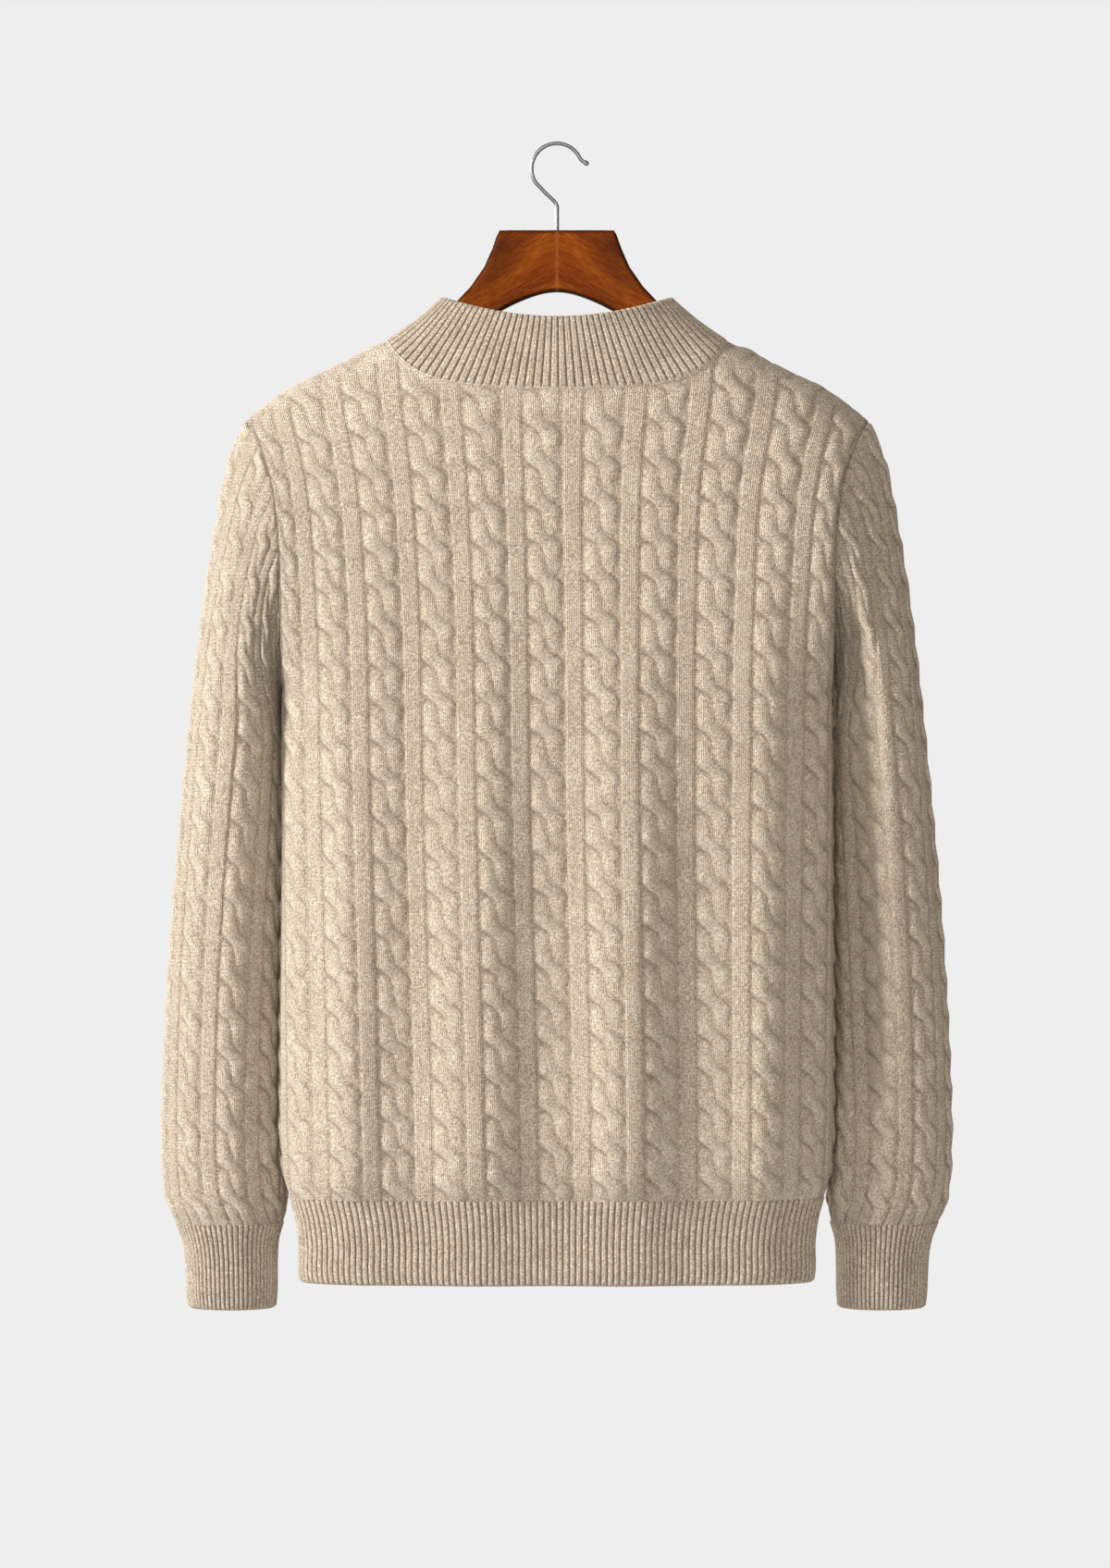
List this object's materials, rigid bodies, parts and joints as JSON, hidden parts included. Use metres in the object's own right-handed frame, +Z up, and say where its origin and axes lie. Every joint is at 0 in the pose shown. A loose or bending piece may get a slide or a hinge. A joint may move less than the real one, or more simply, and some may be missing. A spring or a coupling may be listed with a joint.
{
  "type": "zip-up cardigan on a wooden hanger",
  "caption": "Cable-knit zip-up cardigan with a ribbed stand collar, cuffs and hem, hanging hollow and closed on a wooden hanger with a wire hook.",
  "frame": {"origin": "inside of the crown of the hanger's hook, where a rail carries it", "axes": "+Z up, the zipped front faces -Y, the back faces +Y, +X is the wearer's left"},
  "size_m": [0.5868, 0.1291, 0.8671],
  "materials": {
    "cable_knit": "soft brushed heather cable knit",
    "rib_knit": "two-by-two rib knit, soft and matte",
    "zip_tape": "woven tape, matte",
    "zip_metal": "plain nickel, satin",
    "cherry_wood": "reddish-brown lacquer",
    "chrome_wire": "polished chrome"
  },
  "bodies": {
    "cardigan": {"back": "cable_knit", "front_left": "cable_knit", "front_right": "cable_knit", "sleeve_left": "cable_knit", "sleeve_right": "cable_knit", "collar": "rib_knit", "hem_rib_back": "rib_knit", "hem_rib_front_left": "rib_knit", "hem_rib_front_right": "rib_knit", "cuff_left": "rib_knit", "cuff_right": "rib_knit", "zip_tape_left": "zip_tape", "zip_tape_right": "zip_tape", "zip_chain": "zip_metal", "zip_box": "zip_metal", "zip_slider": "zip_metal", "hanger_arm_left": "cherry_wood", "hanger_arm_right": "cherry_wood", "hanger_hook": "chrome_wire"},
    "pull_tab": {"zip_pull_tab": "zip_metal"}
  },
  "joints": [
    {"name": "pull_tab_hinge", "type": "hinge", "parent": "cardigan", "child": "pull_tab", "pos_m": [0, -0.04358, -0.1803], "axis": [-1, 0, 0], "range_deg": [0, 165]}
  ]
}
